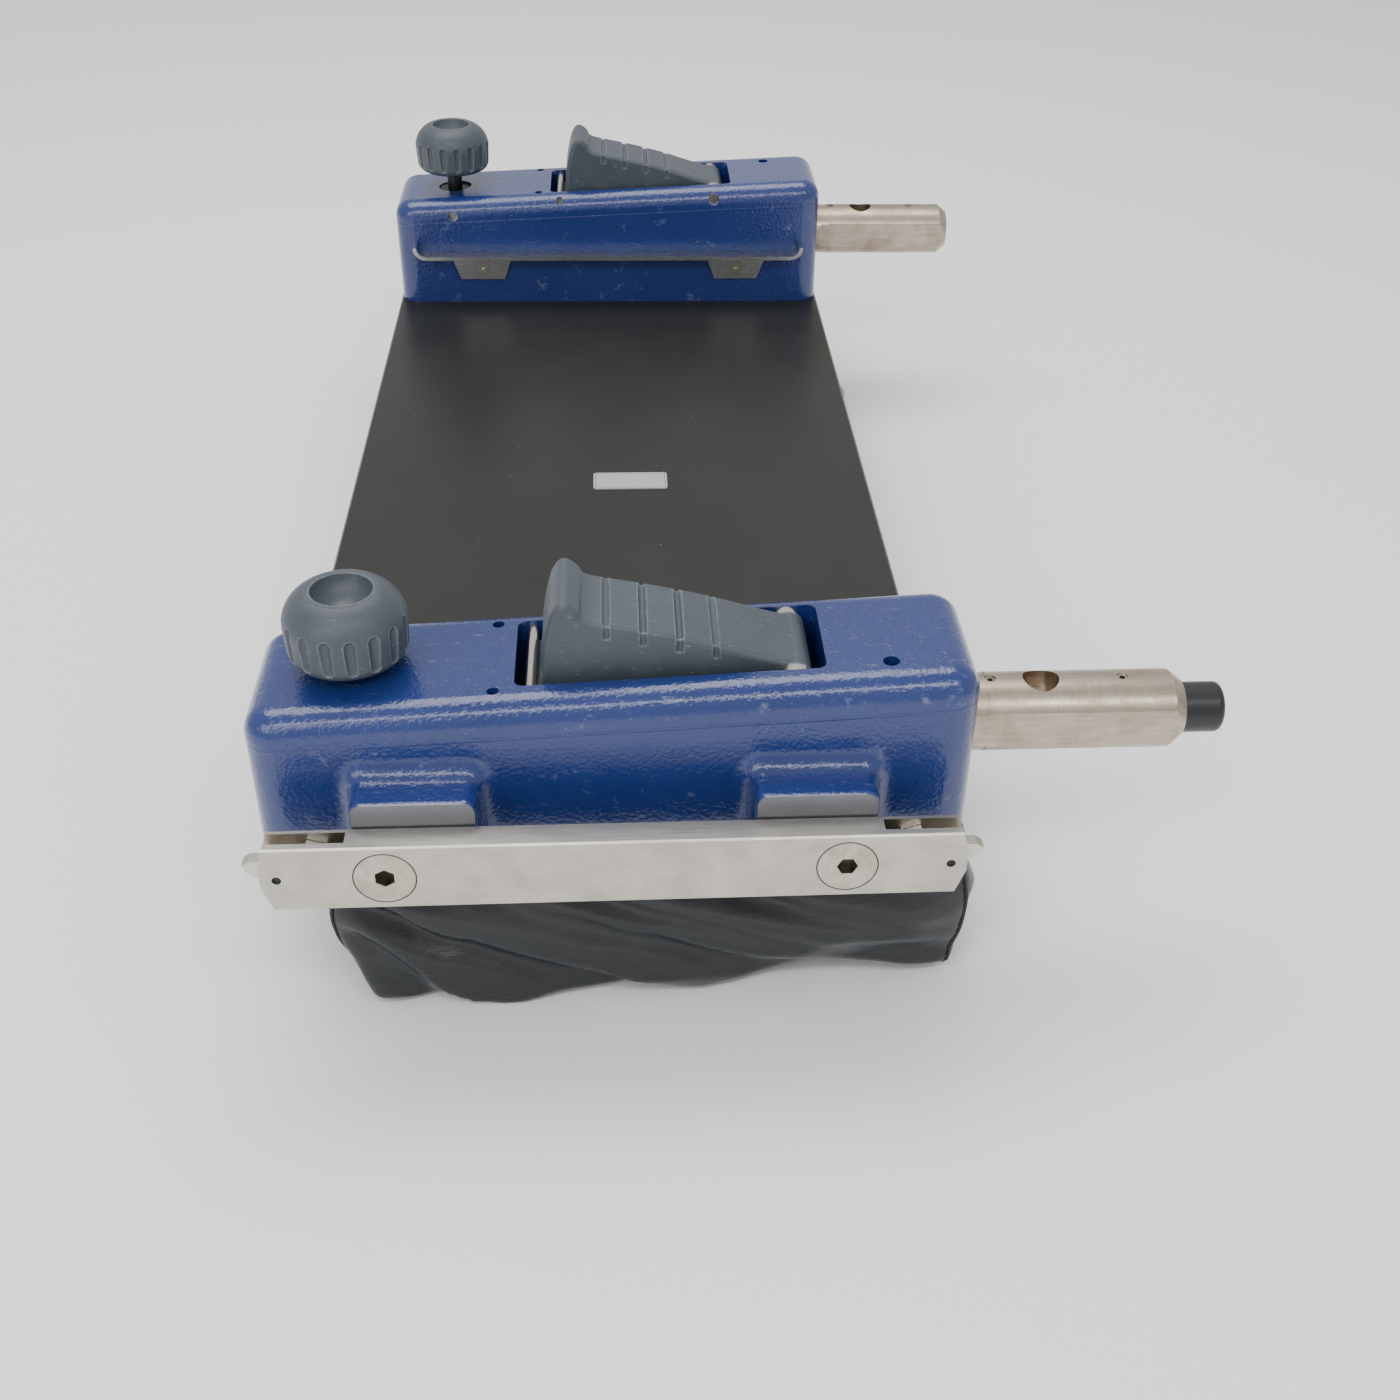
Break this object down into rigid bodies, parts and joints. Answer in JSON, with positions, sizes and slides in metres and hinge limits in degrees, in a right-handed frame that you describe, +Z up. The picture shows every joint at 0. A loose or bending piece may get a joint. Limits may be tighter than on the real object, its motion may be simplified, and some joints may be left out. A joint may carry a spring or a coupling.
{
  "type": "operating table section",
  "caption": "Plug-in section of a modular operating table, lying on its pad: panel, two blue housings with coupling pins, release levers, clamp knobs and side rails.",
  "frame": {"origin": "on the surface that the pad rests on, mid-width of the section and mid-length of the panel", "axes": "+X the way the coupling pins point, +Y across the table towards the left housing, +Z up, from the pad through the panel"},
  "size_m": [0.3265, 0.59, 0.1567],
  "materials": {
    "pad_cover": "soft black polyurethane-coated cover, satin, creased",
    "fastening_strip": "black hook-and-loop",
    "panel_laminate": "black compact laminate, fine matt grain with a soft reflection",
    "label_plate": "silver-grey blank plate",
    "housing_paint": "glossy blue powder coat with a fine orange peel",
    "rail_steel": "stainless, ground along its length",
    "screw_steel": "stainless",
    "rail_stop_steel": "stainless, polished edge",
    "dark_steel": "blackened steel",
    "strip_steel": "stainless, polished edge",
    "bush_steel": "ground bore",
    "bright_pin": "ground and polished",
    "spring_steel": "drawn wire",
    "grip_plastic": "slate grey moulded plastic, worn lighter on its edges",
    "brass_tip": "turned",
    "pin_steel": "nickel-plated steel with a warm, handled tone",
    "tip_plastic": "black acetal, satin"
  },
  "bodies": {
    "section": {"label_plate": "label_plate", "left_clamp_insert": "dark_steel", "left_clamp_insert_dowel": "bright_pin", "left_coupling_pin": "pin_steel", "left_coupling_pin_bolt": "dark_steel", "left_coupling_pin_screws": "screw_steel", "left_guide_strip": "strip_steel", "left_guide_strip_screws": "screw_steel", "left_housing": "housing_paint", "left_housing_bolts": "screw_steel", "left_lever_pivot_pin": "bright_pin", "left_lever_spring": "spring_steel", "left_lever_stop_pin": "bright_pin", "left_lever_washers": "bright_pin", "left_rail_screws": "screw_steel", "left_rail_stop_pins": "dark_steel", "left_side_rail": "rail_steel", "left_socket_liner": "bush_steel", "pad": "pad_cover", "pad_fastening_strips": "fastening_strip", "panel": "panel_laminate", "right_clamp_insert": "dark_steel", "right_clamp_insert_dowel": "bright_pin", "right_coupling_pin": "pin_steel", "right_coupling_pin_bolt": "dark_steel", "right_coupling_pin_screws": "screw_steel", "right_guide_strip": "strip_steel", "right_guide_strip_screws": "screw_steel", "right_housing": "housing_paint", "right_housing_bolts": "screw_steel", "right_lever_pivot_pin": "bright_pin", "right_lever_spring": "spring_steel", "right_lever_stop_pin": "bright_pin", "right_lever_washers": "bright_pin", "right_pilot_tip": "tip_plastic", "right_rail_screws": "screw_steel", "right_rail_stop_pins": "dark_steel", "right_side_rail": "rail_steel", "right_socket_liner": "bush_steel"},
    "right_lever": {"right_lever": "grip_plastic", "right_lever_crank": "dark_steel"},
    "right_push_rod": {"right_push_rod": "dark_steel"},
    "right_lock_plunger": {"right_lock_plunger": "pin_steel"},
    "right_clamp_carrier": {"right_clamp_tip": "brass_tip"},
    "right_clamp_knob": {"right_clamp_knob": "grip_plastic", "right_clamp_screw": "dark_steel"},
    "right_rail_stop_front": {"right_rail_stop_front": "rail_stop_steel"},
    "right_rail_stop_rear": {"right_rail_stop_rear": "rail_stop_steel"},
    "left_lever": {"left_lever": "grip_plastic", "left_lever_crank": "dark_steel"},
    "left_push_rod": {"left_push_rod": "dark_steel"},
    "left_lock_plunger": {"left_lock_plunger": "pin_steel"},
    "left_clamp_carrier": {"left_clamp_tip": "brass_tip"},
    "left_clamp_knob": {"left_clamp_knob": "grip_plastic", "left_clamp_screw": "dark_steel"},
    "left_rail_stop_front": {"left_rail_stop_front": "rail_stop_steel"},
    "left_rail_stop_rear": {"left_rail_stop_rear": "rail_stop_steel"}
  },
  "joints": [
    {"name": "right_lever_press", "type": "hinge", "parent": "section", "child": "right_lever", "pos_m": [0.0583, -0.239, 0.124], "axis": [0, -1, 0], "range_deg": [0, 15], "stiffness_Nm_per_rad": 2, "springref_deg": -22.92, "deforming": ["right_lever_spring"]},
    {"name": "right_rod_slide", "type": "slide", "parent": "section", "child": "right_push_rod", "axis": [1, 0, 0], "range_m": [0, 0.0069]},
    {"name": "right_plunger_slide", "type": "slide", "parent": "section", "child": "right_lock_plunger", "axis": [0, 0, -1], "range_m": [0, 0.0025]},
    {"name": "right_clamp_travel", "type": "slide", "parent": "section", "child": "right_clamp_carrier", "axis": [0, 0, 1], "range_m": [-0.0029, 0.0062]},
    {"name": "right_knob_turn", "type": "hinge", "parent": "right_clamp_carrier", "child": "right_clamp_knob", "pos_m": [-0.0855, -0.239, 0.13], "axis": [0, 0, 1], "range_deg": [-838, 1788]},
    {"name": "right_rail_stop_front_swing", "type": "hinge", "parent": "section", "child": "right_rail_stop_front", "pos_m": [0.10675, -0.2895, 0.0786], "axis": [0, 1, 0], "range_deg": [0, 28]},
    {"name": "right_rail_stop_rear_swing", "type": "hinge", "parent": "section", "child": "right_rail_stop_rear", "pos_m": [-0.10675, -0.2895, 0.0786], "axis": [0, -1, 0], "range_deg": [0, 28]},
    {"name": "left_lever_press", "type": "hinge", "parent": "section", "child": "left_lever", "pos_m": [0.0583, 0.239, 0.124], "axis": [0, -1, 0], "range_deg": [0, 15], "stiffness_Nm_per_rad": 2, "springref_deg": -22.92, "deforming": ["left_lever_spring"]},
    {"name": "left_rod_slide", "type": "slide", "parent": "section", "child": "left_push_rod", "axis": [1, 0, 0], "range_m": [0, 0.0069]},
    {"name": "left_plunger_slide", "type": "slide", "parent": "section", "child": "left_lock_plunger", "axis": [0, 0, -1], "range_m": [0, 0.0025]},
    {"name": "left_clamp_travel", "type": "slide", "parent": "section", "child": "left_clamp_carrier", "axis": [0, 0, 1], "range_m": [-0.0089, 0.0004]},
    {"name": "left_knob_turn", "type": "hinge", "parent": "left_clamp_carrier", "child": "left_clamp_knob", "pos_m": [-0.0855, 0.239, 0.13], "axis": [0, 0, 1], "range_deg": [-2566, 118]},
    {"name": "left_rail_stop_front_swing", "type": "hinge", "parent": "section", "child": "left_rail_stop_front", "pos_m": [0.10675, 0.2895, 0.0786], "axis": [0, 1, 0], "range_deg": [0, 28]},
    {"name": "left_rail_stop_rear_swing", "type": "hinge", "parent": "section", "child": "left_rail_stop_rear", "pos_m": [-0.10675, 0.2895, 0.0786], "axis": [0, -1, 0], "range_deg": [0, 28]}
  ],
  "couplings": [
    {"joint": "right_rod_slide", "follows": "right_lever_press", "m_per_rad": 0.0257},
    {"joint": "right_plunger_slide", "follows": "right_lever_press", "m_per_rad": 0.009252},
    {"joint": "right_knob_turn", "follows": "right_clamp_travel", "rad_per_m": 5026.5},
    {"joint": "left_rod_slide", "follows": "left_lever_press", "m_per_rad": 0.0257},
    {"joint": "left_plunger_slide", "follows": "left_lever_press", "m_per_rad": 0.009252},
    {"joint": "left_knob_turn", "follows": "left_clamp_travel", "rad_per_m": 5026.5}
  ]
}
